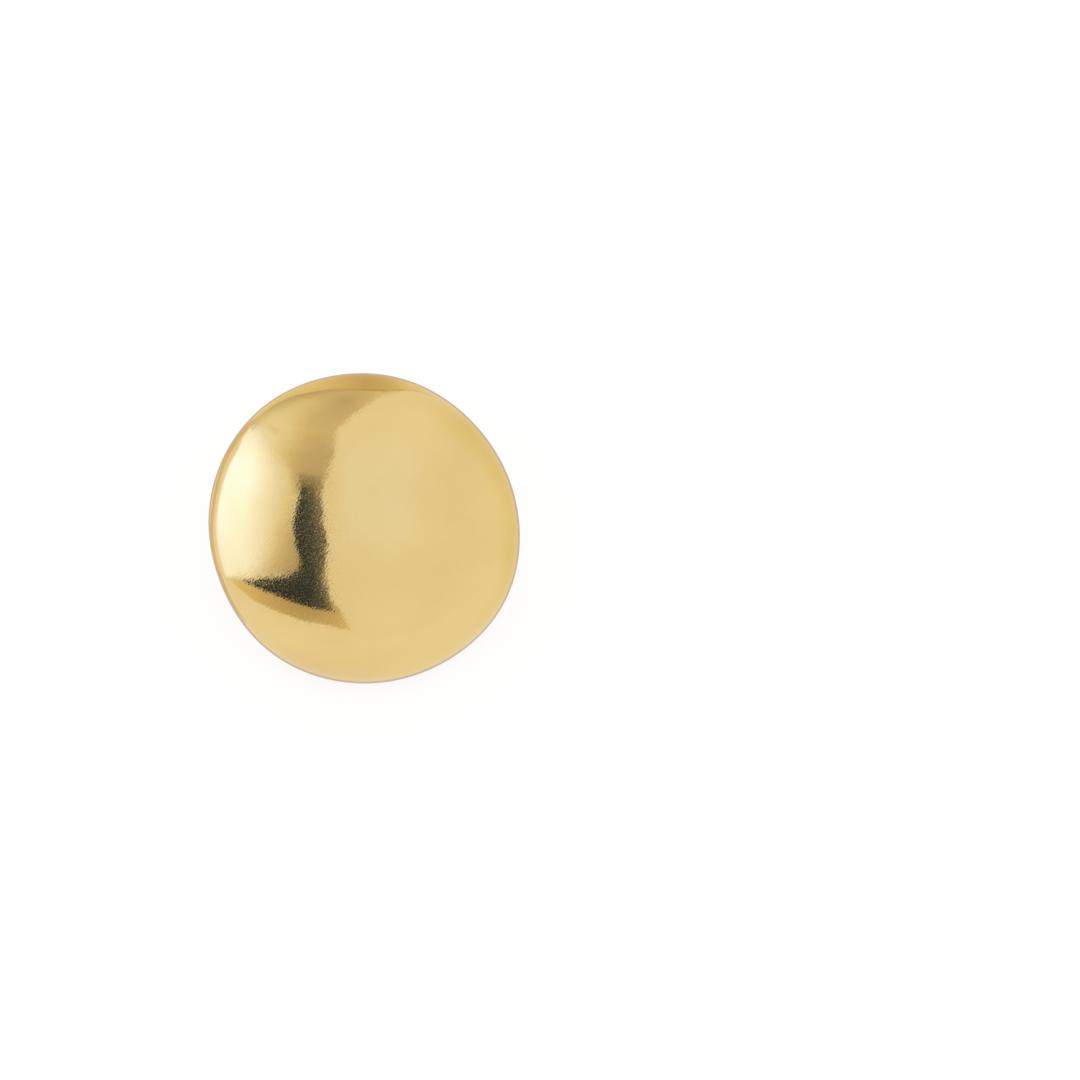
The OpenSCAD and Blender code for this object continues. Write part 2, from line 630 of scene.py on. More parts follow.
@dataclass(frozen=True)
class EarNut:
    """The butterfly nut, folded from one strip, in millimetres."""

    plate: BackPlate = BackPlate()
    lobe_gap: float = 4.2
    base_d: float = 5.4
    strip_t: float = 0.35
    strip_w: float = 3.0
    curl_d: float = 2.2
    curl_from: float = 105.0  # where a curl leaves the base, in degrees
    curl_open: float = 40.0  # and what stays open between its end and the base
    sink: float = 0.1
    turn: float = 20.0
    base_round: float = 0.12
    strip_round: float = 0.09
    mouth_w: float = 0.45  # the sunk mouth of the hole, which leads the post in
    mouth_deep: float = 0.14
    around: int = 96
    curl_points: int = 56

    @property
    def top(self) -> float:
        """Height of the face that meets the ear."""
        return self.plate.back - self.lobe_gap

    @property
    def hole_r(self) -> float:
        """Radius of the hole, which stays clear of the post."""
        return self.plate.post_d / 2 + self.plate.gap

    def base_rows(self) -> list[Row]:
        """Lists the rows of the base's section.

        Returns:
            The rows all the way round a ring with a sunk mouth at its hole.
        """
        outer, under = self.base_d / 2, self.top - self.strip_t
        middle = (outer + self.hole_r) / 2
        corners = [
            (middle, self.top),
            (self.hole_r + self.mouth_w, self.top),
            (self.hole_r, self.top - self.mouth_deep),
            (self.hole_r, under),
            (outer, under),
            (outer, self.top),
            (middle, self.top),
        ]
        rows = [Row(radius, height, self.plate.post_up, 0.0) for radius, height in corners]
        return rounded_rows(rows, self.base_round)

    def _curl_tree(self) -> bpy.types.NodeTree:
        """Builds the tree that sweeps the strip along a curl and sets one at each side of the post.

        Returns:
            The node tree. Its geometry input is the line that the middle of the strip follows.
        """
        inputs = (
            ("Line", "NodeSocketGeometry"),
            ("Strip Width", "NodeSocketFloat"),
            ("Strip Thickness", "NodeSocketFloat"),
            ("Corner Radius", "NodeSocketFloat"),
            ("Curls", "NodeSocketInt"),
            ("Nut Turn", "NodeSocketFloat"),
            ("Nut Place", "NodeSocketVector"),
        )
        tree, given = start_tree("curled_strip", inputs, "Curled Strip")
        add = partial(add_node, tree)
        line = add("GeometryNodeMeshToCurve", {"Mesh": given["Line"]})
        flat = add(
            "GeometryNodeCurvePrimitiveQuadrilateral",
            {"Width": given["Strip Width"], "Height": given["Strip Thickness"]},
        )
        section = add(
            "GeometryNodeFilletCurve",
            {"Curve": flat, "Count": 4, "Radius": given["Corner Radius"]},
            mode="POLY",
        )
        strip = add("GeometryNodeCurveToMesh", {"Curve": line, "Profile Curve": section, "Fill Caps": True})
        # One curl for each side, turned evenly round the post
        points = add("GeometryNodePoints", {"Count": given["Curls"]})
        index = add("GeometryNodeInputIndex")
        whole = add("ShaderNodeMath", [index, given["Curls"]], operation="DIVIDE")
        turn = add("ShaderNodeMath", [whole, math.tau], operation="MULTIPLY")
        rotation = add("ShaderNodeCombineXYZ", [0.0, 0.0, turn])
        pair = add(
            "GeometryNodeInstanceOnPoints", {"Points": points, "Instance": strip, "Rotation": rotation}
        )
        nut_turn = add("ShaderNodeCombineXYZ", [0.0, 0.0, given["Nut Turn"]])
        on_post = add(
            "GeometryNodeTransform",
            {"Geometry": pair, "Translation": given["Nut Place"], "Rotation": nut_turn},
        )
        end_tree(tree, given, on_post)
        return tree

    def curl_line(self) -> list[tuple[float, float, float]]:
        """Works out the line along the middle of a curl.

        Returns:
            The points from the base, round the curl and back beside the post.
        """
        middle_r = (self.curl_d - self.strip_t) / 2
        centre_x = self.hole_r + self.curl_d / 2
        centre_z = self.sink - self.strip_t - self.curl_d / 2
        sweep = 360 - self.curl_open
        points = []
        for i in range(self.curl_points + 1):
            turn = math.radians(self.curl_from - sweep * i / self.curl_points)
            points.append((centre_x + middle_r * math.cos(turn), 0.0, centre_z + middle_r * math.sin(turn)))
        return points

    def build(self, turning: TurnedPiece, pose: RestPose, metal: bpy.types.Material) -> bpy.types.Object:
        """Builds the nut's base and its two curls as one piece.

        Args:
            turning: The builder of turned pieces.
            pose: Where the earring lies.
            metal: The nut's material.

        Returns:
            The piece, which stands for the CAD node ear_nut.
        """
        base = turning.build("butterfly_nut", self.base_rows(), self.around, pose, metal)
        points = self.curl_line()
        line = bpy.data.meshes.new("curl_line")
        line.from_pydata(points, [(i, i + 1) for i in range(len(points) - 1)], [])
        inputs = {
            "Strip Width": self.strip_w,
            "Strip Thickness": self.strip_t,
            "Corner Radius": self.strip_round,
            "Curls": 2,
            "Nut Turn": math.radians(self.turn),
            "Nut Place": Vector((0.0, self.plate.post_up, self.top)),
        }
        curls = grown("nut_curls", line, self._curl_tree(), inputs, pose, metal)
        with bpy.context.temp_override(active_object=base, selected_editable_objects=[base, curls]):
            bpy.ops.object.join()
        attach(base, "root")
        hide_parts("ear_nut")
        return base


@dataclass(frozen=True)
class GoldFinish:
    """Thin gold plate on brass. Its lengths are in millimetres."""

    name: str
    base: str = "#EBD091"
    deep: str = "#DDBF7A"  # where the plate is a little warmer
    roughness: float = 0.046
    ripple_w: float = 0.75  # distance between the soft waves that hand polishing leaves
    ripple_h: float = 0.004
    hair_w: float = 0.16  # width of the fine polishing marks, drawn wider than real so that they show
    hair_l: float = 0.5
    hair_h: float = 0.0025
    hair_turns: tuple[float, ...] = (58.0, 36.0)  # the ways they run, in degrees
    tick_w: float = 0.08  # width of the short scratches that scatter light
    tick_l: float = 0.17
    tick_roughness: float = 0.19
    tick_from: float = 0.46  # the noise at which a scratch begins to show, and at which it shows whole
    tick_full: float = 0.65
    cloud_w: float = 6.25  # width of the patches where the plate is a little warmer

    def build(self, pose: RestPose) -> bpy.types.Material:
        """Builds the material.

        Args:
            pose: Where the earring lies, so that patterns keep to the earring's own frame.

        Returns:
            The material.
        """
        metal = bpy.data.materials.new(self.name)
        metal.use_nodes = True
        tree = metal.node_tree
        tree.nodes.clear()
        add = partial(add_node, tree)
        coordinates = add("ShaderNodeTexCoord")
        own = add(
            "ShaderNodeMapping",
            {
                "Vector": coordinates.outputs["Object"],
                "Location": pose.place,
                "Rotation": (pose.tilt, 0.0, 0.0),
                "Scale": (MM, MM, MM),
            },
            vector_type="TEXTURE",
        )
        ripple = add("ShaderNodeTexNoise", {"Vector": own, "Scale": 1 / self.ripple_w, "Detail": 1.0})
        normal = add(
            "ShaderNodeBump", {"Strength": 1.0, "Distance": self.ripple_h * MM, "Height": ripple.outputs[0]}
        )
        for turn in self.hair_turns:
            across = add(
                "ShaderNodeMapping",
                {
                    "Vector": own,
                    "Rotation": (0.0, 0.0, math.radians(turn)),
                    "Scale": (self.hair_l, self.hair_w, self.hair_l),
                },
                vector_type="TEXTURE",
            )
            marks = add("ShaderNodeTexNoise", {"Vector": across, "Scale": 1.0, "Detail": 1.0})
            normal = add(
                "ShaderNodeBump",
                {
                    "Strength": 1.0,
                    "Distance": self.hair_h * MM,
                    "Height": marks.outputs[0],
                    "Normal": normal,
                },
            )
        ticks = add(
            "ShaderNodeMapping",
            {
                "Vector": own,
                "Rotation": (0.0, 0.0, math.radians(self.hair_turns[0])),
                "Scale": (self.tick_l, self.tick_w, self.tick_l),
            },
            vector_type="TEXTURE",
        )
        tick = add("ShaderNodeTexNoise", {"Vector": ticks, "Scale": 1.0, "Detail": 1.0})
        cloud = add("ShaderNodeTexNoise", {"Vector": own, "Scale": 1 / self.cloud_w, "Detail": 3.0})
        tone = add(
            "ShaderNodeMix",
            {"Factor": cloud.outputs[0], "A": colour(self.deep), "B": colour(self.base)},
            data_type="RGBA",
        )
        worn = add(
            "ShaderNodeMapRange",
            {
                "Value": tick.outputs[0],
                "From Min": self.tick_from,
                "From Max": self.tick_full,
                "To Min": self.roughness,
                "To Max": self.tick_roughness,
            },
            interpolation_type="SMOOTHSTEP",
        )
        surface = add(
            "ShaderNodeBsdfPrincipled",
            {"Base Color": tone.outputs[2], "Metallic": 1.0, "Roughness": worn, "Normal": normal},
        )
        add("ShaderNodeOutputMaterial", {"Surface": surface})
        return metal


@dataclass(frozen=True)
class Camera:
    """A long lens that looks straight down the dome's axis, as in the photograph."""

    distance: float = 1200.0  # in mm
    frame_w: float = 1080.0  # in pixels
    dome_at: tuple[float, float] = (363.7, 528.7)  # the middle of the dome's outline in the frame
    dome_r: float = 155.6
    sensor: float = 36.0

    def aim(self, dome: DomeShell) -> Vector:
        """Works out what the camera looks at.

        Args:
            dome: The dome in the picture.

        Returns:
            The point in the middle of the picture, in the earring's own frame.
        """
        pixel = dome.outline.mean_radius / self.dome_r
        middle = self.frame_w / 2
        return Vector(((middle - self.dome_at[0]) * pixel, (self.dome_at[1] - middle) * pixel, dome.edge_h))

    def eye(self, dome: DomeShell) -> Vector:
        """Returns where the camera stands, in the earring's own frame."""
        return self.aim(dome) + Vector((0.0, 0.0, self.distance))

    def build(self, dome: DomeShell, pose: RestPose) -> bpy.types.Object:
        """Builds the scene's camera.

        Args:
            dome: The dome that it looks at.
            pose: Where the earring lies.

        Returns:
            The camera.
        """
        data = bpy.data.cameras.new("camera")
        data.sensor_width = self.sensor
        seen_w = self.frame_w * dome.outline.mean_radius / self.dome_r
        data.lens = self.sensor * self.distance / seen_w
        camera = plain_object("camera", data)
        camera.location = pose.point(self.eye(dome))
        camera.rotation_euler = (pose.tilt, 0.0, 0.0)
        bpy.context.scene.camera = camera
        return camera


def smooth_line(places: Sequence[Place], count: int) -> list[Place]:
    """Draws a smooth line through places.

    Args:
        places: The places in order.
        count: How many points the line gets.

    Returns:
        Points that are evenly spaced by place number, on a curve through all places.
    """
    padded = [places[0], *places, places[-1]]
    line = []
    for i in range(count):
        whole, part = divmod(i / (count - 1) * (len(places) - 1), 1.0)
        at = min(int(whole), len(places) - 2)
        part += whole - at
        near = padded[at : at + 4]
        weights = (
            -part + 2 * part**2 - part**3,
            2 - 5 * part**2 + 3 * part**3,
            part + 4 * part**2 - 3 * part**3,
            -(part**2) + part**3,
        )
        line.append(tuple(sum(w * p[k] for w, p in zip(weights, near)) / 2 for k in (0, 1)))
    return line


def blend(stops: Sequence[tuple[float, Any]], at: float) -> Any:
    """Reads a run of stops.

    Args:
        stops: Places in rising order, each with a number or a tuple of numbers.
        at: Where to read.

    Returns:
        The number or numbers there, blended between the two nearest stops.
    """
    if at <= stops[0][0]:
        return stops[0][1]
    for (low, a), (high, b) in zip(stops, stops[1:]):
        if at <= high:
            part = (at - low) / (high - low)
            if isinstance(a, tuple):
                return tuple(x + (y - x) * part for x, y in zip(a, b))
            return a + (b - a) * part
    return stops[-1][1]


def eased(share: float) -> float:
    """Returns a share from 0 to 1 with a soft start and end."""
    return share * share * (3 - 2 * share)


# What polished gold shows at each level of light, where 1 is the white of the room
GOLD_TONES: tuple[tuple[float, tuple[float, float, float]], ...] = tuple(
    (level, hex_to_linear(code))
    for level, code in (
        (0.03, "#2C2D25"), (0.07, "#3D3A2C"), (0.11, "#4B4530"), (0.16, "#5E5338"), (0.21, "#6F623F"),
        (0.30, "#8A784A"), (0.40, "#9A834E"), (0.55, "#AF9256"), (0.70, "#C3A163"), (0.80, "#CEAC68"),
        (0.90, "#DABC76"), (1.00, "#E4C785"), (1.12, "#EBD49A"), (1.25, "#F4DDA8"), (1.35, "#F9E4B2"),
        (1.50, "#FCEDBD"), (1.65, "#FEF6CD"), (1.80, "#FEFBD6"), (2.00, "#FEFEE4"),
    )
)  # fmt: skip


@dataclass(frozen=True)
class Card:
    """A card or soft light that only metal mirrors, cut to the shape that it has in the dome."""

    name: str
    first: tuple[Place, ...]  # its two long sides, as places on the dome
    second: tuple[Place, ...]
    across: tuple[tuple[float, float], ...]  # its level of light, from its first side to its second
    along: tuple[tuple[float, float], ...] = ((0.0, 1.0),)  # what that is times, from its start to its end
    cover: tuple[tuple[float, float], ...] = ((0.0, 1.0),)  # how much it hides, from its start to its end
    feather: tuple[float, float] = (0.0, 0.0)  # share over which it fades at its first and second side
    tint: str = "#FFFFFF"
    strength: float = 1.0
    distance: float = 700.0  # in mm
    clear: float = 0.02  # its height above the floor in mm, where it would otherwise go through the floor

    def light(self, s: float, t: float) -> list[float]:
        """Works out the light at a place of the card.

        Args:
            s: The share of the way from its first side to its second.
            t: The share of the way from its start to its end.

        Returns:
            Red, green and blue, of which gold makes the tone that belongs to the level there.
        """
        shown = blend(GOLD_TONES, blend(self.across, s) * blend(self.along, t))
        plain = blend(GOLD_TONES, 1.0)
        return [self.strength * a * b / c for a, b, c in zip(shown, hex_to_linear(self.tint), plain)]

    def hides(self, s: float, t: float) -> float:
        """Works out how much the card hides what is behind it.

        Args:
            s: The share of the way from its first side to its second.
            t: The share of the way from its start to its end.

        Returns:
            A share from 0 to 1.
        """
        share = blend(self.cover, t)
        for width, near in zip(self.feather, (s, 1 - s)):
            share *= eased(min(1.0, near / width)) if width > 0 else 1.0
        return share

    def build(self, dome: DomeShell, eye: Vector, pose: RestPose) -> bpy.types.Object:
        """Builds the card as a grid, each point where the dome mirrors it to the camera.

        Args:
            dome: The dome that mirrors it.
            eye: Where the camera stands, in the earring's own frame.
            pose: Where the earring lies.

        Returns:
            The card.
        """
        rows, columns = 97, 65  # points along the card and across it
        points, glow = [], []
        for i, (a, b) in enumerate(zip(smooth_line(self.first, rows), smooth_line(self.second, rows))):
            t = i / (rows - 1)
            for j in range(columns):
                s = j / (columns - 1)
                place = (a[0] + (b[0] - a[0]) * s, a[1] + (b[1] - a[1]) * s)
                point, normal = dome.spot(place)
                to_eye = (eye - point).normalized()
                mirrored = 2 * normal.dot(to_eye) * normal - to_eye
                start, way = pose.point(point), pose.direction(mirrored)
                reach = self.distance * MM
                if way.z < 0:
                    reach = min(reach, (start.z - self.clear * MM) / -way.z)
                points.append(start + reach * way)
                glow += [*self.light(s, t), self.hides(s, t)]
        faces = [
            (i * columns + j, i * columns + j + 1, (i + 1) * columns + j + 1, (i + 1) * columns + j)
            for i in range(rows - 1)
            for j in range(columns - 1)
        ]
        card = Studio.glowing(self.name, points, faces, glow)
        return card


# Where the white of the room begins on the dome, from its top to the dark flag
ROOM_EDGE: tuple[Place, ...] = (
    (0.295, 0.890), (0.214, 0.882), (0.131, 0.852), (0.033, 0.798), (-0.050, 0.735), (-0.120, 0.675),
    (-0.168, 0.618), (-0.177, 0.564), (-0.189, 0.467), (-0.217, 0.384), (-0.238, 0.321), (-0.260, 0.245),
)  # fmt: skip
# Where the window meets the dark flag, and where that meets the room
WINDOW_EDGE: tuple[Place, ...] = (
    (-0.42, 0.36), (-0.402, 0.286), (-0.407, 0.217), (-0.426, 0.133), (-0.445, 0.05), (-0.440, -0.033),
    (-0.418, -0.131), (-0.402, -0.214), (-0.411, -0.263),
)  # fmt: skip
FLAG_EDGE: tuple[Place, ...] = (
    (-0.235, 0.345), (-0.258, 0.290), (-0.270, 0.230), (-0.262, 0.164), (-0.248, 0.100), (-0.258, 0.043),
    (-0.238, -0.005), (-0.228, -0.060), (-0.225, -0.100), (-0.232, -0.171), (-0.238, -0.250),
    (-0.243, -0.340),
)  # fmt: skip

# Where two cards overlap in the dome, the one at the smaller distance hides the other
CARDS: tuple[Card, ...] = (
    # A dark flag that stands beside the window, with its foot
    Card(
        "dark_flag_upright",
        first=WINDOW_EDGE,
        second=FLAG_EDGE,
        across=((0.0, 0.03), (0.25, 0.05), (0.6, 0.10), (0.8, 0.16), (1.0, 0.18)),
        along=((0.0, 2.0), (0.25, 1.4), (0.4, 1.15), (0.55, 1.0), (1.0, 0.95)),
        cover=((0.0, 0.0), (0.05, 0.3), (0.15, 0.85), (0.22, 1.0)),
        distance=600,
    ),
    Card(
        "dark_flag_foot",
        first=((-0.91, -0.318), (-0.82, -0.326), (-0.745, -0.330), (-0.62, -0.3155), (-0.481, -0.297),
               (-0.411, -0.263), (-0.30, -0.262), (-0.243, -0.29)),
        second=((-0.91, -0.324), (-0.82, -0.334), (-0.745, -0.350), (-0.67, -0.383), (-0.56, -0.425),
                (-0.453, -0.467), (-0.328, -0.506), (-0.185, -0.532)),
        across=((0.0, 0.07), (0.5, 0.045), (1.0, 0.03)),
        along=((0.0, 8.0), (0.23, 7.0), (0.28, 1.0), (0.84, 1.0), (0.92, 3.0), (1.0, 7.0)),
        cover=((0.0, 0.2), (0.15, 0.55), (0.23, 0.7), (0.28, 1.0)),
        distance=590,
    ),
    # A tan flag that lies below the dark one
    Card(
        "tan_flag",
        first=((-0.85, -0.335), (-0.66, -0.366), (-0.55, -0.41), (-0.453, -0.44), (-0.328, -0.47),
               (-0.19, -0.47), (-0.078, -0.648)),
        second=((-0.83, -0.352), (-0.717, -0.450), (-0.62, -0.502), (-0.467, -0.563), (-0.384, -0.59),
                (-0.245, -0.618), (-0.078, -0.650)),
        across=((0.0, 1.0),),
        along=((0.0, 0.90), (0.15, 0.78), (0.3, 0.70), (0.5, 0.58), (0.7, 0.58), (0.85, 0.66), (1.0, 0.84)),
        feather=(0.0, 0.05),
        tint="#FFF7E0",
        strength=1.05,
        distance=640,
    ),
    # The window's lower corner is softer than the window, and stands before it
    Card(
        "window_corner",
        first=((-0.66, 0.06), (-0.64, -0.05), (-0.70, -0.17), (-0.84, -0.30)),
        second=((-0.41, 0.06), (-0.41, -0.05), (-0.39, -0.17), (-0.38, -0.285)),
        across=((0.0, 1.05), (0.5, 0.82), (1.0, 0.56)),
        along=((0.0, 1.02), (0.4, 0.98), (0.75, 0.95), (1.0, 0.93)),
        cover=((0.0, 0.0), (0.45, 0.9), (1.0, 1.0)),
        feather=(0.75, 0.02),
        distance=680,
    ),
    Card(
        "window",
        first=((-0.725, 0.675), (-0.77, 0.60), (-0.804, 0.52), (-0.863, 0.411), (-0.914, 0.27),
               (-0.945, 0.10), (-0.949, -0.04), (-0.926, -0.19), (-0.888, -0.31)),
        second=((-0.58, 0.675), (-0.50, 0.60), (-0.48, 0.51), (-0.425, 0.37), (-0.385, 0.27),
                (-0.385, 0.10), (-0.385, -0.05), (-0.37, -0.20), (-0.36, -0.28)),
        across=((0.0, 1.70), (0.07, 1.90), (0.32, 1.80), (0.55, 1.38), (0.75, 1.08), (0.92, 0.93),
                (1.0, 0.93)),
        along=((0.0, 0.78), (0.125, 0.80), (0.25, 0.89), (0.375, 1.0), (0.5, 0.98), (0.625, 0.92),
               (0.75, 0.85), (0.875, 0.79), (1.0, 0.76)),
        cover=((0.0, 0.0), (0.1, 0.85), (0.2, 1.0)),
        feather=(0.03, 0.16),
    ),
    # Where the window meets the tan wall
    Card(
        "window_shoulder",
        first=((-0.68, 0.655), (-0.635, 0.60), (-0.615, 0.56), (-0.60, 0.52), (-0.575, 0.48), (-0.535, 0.44)),
        second=((-0.50, 0.675), (-0.45, 0.61), (-0.43, 0.555), (-0.42, 0.505), (-0.41, 0.46), (-0.40, 0.42)),
        across=((0.0, 1.26), (0.19, 1.12), (0.4, 1.05), (0.62, 0.99), (0.84, 0.93), (1.0, 0.89)),
        along=((0.0, 1.0), (0.2, 1.0), (0.4, 0.95), (0.6, 0.89), (0.8, 0.845), (1.0, 0.82)),
        cover=((0.0, 0.0), (0.25, 1.0), (0.75, 1.0), (1.0, 0.0)),
        feather=(0.25, 0.3),
        distance=690,
    ),
    # The tan wall between the window and the room
    Card(
        "tan_wall",
        first=((0.214, 0.885), (0.033, 0.891), (-0.245, 0.887), (-0.495, 0.835), (-0.68, 0.739),
               (-0.725, 0.67), (-0.68, 0.56), (-0.70, 0.44), (-0.72, 0.32), (-0.70, 0.20)),
        second=ROOM_EDGE,
        across=((0.0, 0.78), (0.06, 0.84), (0.13, 0.92), (0.21, 1.0), (0.3, 1.02), (0.45, 0.95), (0.65, 0.80),
                (0.85, 0.76), (1.0, 0.77)),
        along=((0.0, 0.9), (0.15, 0.81), (0.22, 0.73), (0.28, 0.76), (0.33, 0.86), (0.39, 0.92), (0.45, 0.98),
               (0.56, 1.04), (0.67, 0.92), (0.74, 0.86), (0.8, 0.87), (0.86, 0.83), (0.9, 0.74), (1.0, 0.56)),
        distance=760,
        clear=0.01,
    ),
    # Where that wall ends against the room, at the top right
    Card(
        "tan_wall_end",
        first=((-0.22, 0.884), (-0.06, 0.889), (0.131, 0.887), (0.31, 0.889)),
        second=((-0.12, 0.675), (-0.02, 0.757), (0.131, 0.852), (0.31, 0.889)),
        across=((0.0, 0.76), (0.5, 0.74), (1.0, 0.80)),
        along=((0.0, 0.92), (0.3, 0.96), (0.6, 1.10), (0.85, 1.25), (1.0, 1.3)),
        cover=((0.0, 0.0), (0.35, 1.0), (1.0, 1.0)),
        distance=750,
    ),
    # The wall above it, mirrored by the top of the dome behind a dark line
    Card(
        "far_wall",
        first=((-0.72, 0.71), (-0.52, 0.86), (-0.3, 0.96), (-0.1, 0.99), (0.1, 0.99), (0.27, 0.965),
               (0.42, 0.91), (0.52, 0.87)),
        second=((-0.70, 0.695), (-0.495, 0.829), (-0.245, 0.881), (-0.06, 0.887), (0.131, 0.880),
                (0.295, 0.883), (0.37, 0.872), (0.50, 0.82)),
        across=((0.0, 1.0), (0.85, 0.99), (0.91, 0.92), (0.94, 0.74), (0.975, 0.72), (1.0, 0.78)),
        along=((0.0, 0.98), (0.28, 0.90), (0.42, 0.80), (0.5, 0.71), (0.59, 0.78), (0.69, 0.91), (1.0, 0.95)),
        cover=((0.0, 1.0), (0.8, 1.0), (1.0, 0.0)),
        feather=(0.0, 0.02),
        tint="#FFF7DF",
        distance=740,
    ),
    # The dim floor far behind, mirrored by the very edge of the dome at the left
    Card(
        "far_floor",
        first=((-0.74, 0.70), (-0.83, 0.585), (-0.90, 0.44), (-0.952, 0.28), (-0.98, 0.10), (-0.985, -0.05),
               (-0.97, -0.19), (-0.925, -0.34), (-0.86, -0.48), (-0.76, -0.62)),
        second=((-0.705, 0.665), (-0.796, 0.56), (-0.876, 0.425), (-0.926, 0.27), (-0.957, 0.09),
                (-0.958, -0.05), (-0.94, -0.18), (-0.897, -0.32), (-0.835, -0.465), (-0.745, -0.605)),
        across=((0.0, 0.92), (0.25, 0.80), (0.6, 0.78), (0.85, 0.94), (1.0, 1.0)),
        along=((0.0, 1.0), (0.3, 1.03), (0.7, 1.04), (0.9, 0.90), (1.0, 0.86)),
        cover=((0.0, 0.6), (0.05, 0.9), (0.1, 0.97), (0.75, 1.0), (0.9, 0.75), (1.0, 0.2)),
        tint="#FFF3DC",
        distance=690,
        clear=0.03,
    ),
    # A straw-coloured wall, mirrored by the right edge of the dome
    Card(
        "straw_wall",
        first=((0.20, 0.78), (0.38, 0.66), (0.57, 0.52), (0.71, 0.38), (0.79, 0.21), (0.83, 0.03),
               (0.83, -0.16), (0.82, -0.33), (0.76, -0.48), (0.66, -0.60)),
        second=((0.30, 0.99), (0.55, 0.87), (0.76, 0.69), (0.90, 0.50), (1.0, 0.27), (1.04, 0.03),
                (1.03, -0.20), (0.99, -0.40), (0.89, -0.57), (0.77, -0.70)),
        across=((0.0, 1.0), (0.4, 0.97), (1.0, 0.88)),
        cover=((0.0, 0.0), (0.08, 0.3), (0.2, 0.9), (0.45, 1.0), (0.7, 0.8), (1.0, 0.0)),
        feather=(0.55, 0.0),
        tint="#FFFAE8",
        distance=650,
    ),
    # A pale rose floor, mirrored by the dome's foot
    Card(
        "rose_floor",
        first=((-0.60, -0.55), (-0.50, -0.66), (-0.36, -0.75), (-0.18, -0.79), (0.0, -0.80), (0.15, -0.78)),
        second=((-0.78, -0.70), (-0.62, -0.82), (-0.44, -0.95), (-0.22, -1.03), (0.0, -1.05), (0.18, -1.03)),
        across=((0.0, 1.0),),
        cover=((0.0, 0.0), (0.35, 0.9), (0.6, 1.0), (1.0, 0.0)),
        feather=(0.6, 0.0),
        tint="#FAF9FF",
        strength=1.02,
        distance=660,
    ),
    # A pale curtain behind the camera
    Card(
        "pale_curtain",
        first=((-0.24, 0.66), (-0.21, 0.4), (-0.20, 0.15), (-0.20, -0.1), (-0.18, -0.3)),
        second=((0.5, 0.66), (0.55, 0.4), (0.5, 0.15), (0.45, -0.1), (0.4, -0.3)),
        across=((0.0, 1.07),),
        cover=((0.0, 0.0), (0.3, 1.0), (0.65, 0.9), (1.0, 0.0)),
        feather=(0.18, 0.5),
        tint="#FAFAFF",
        strength=1.02,
        distance=800,
    ),
)


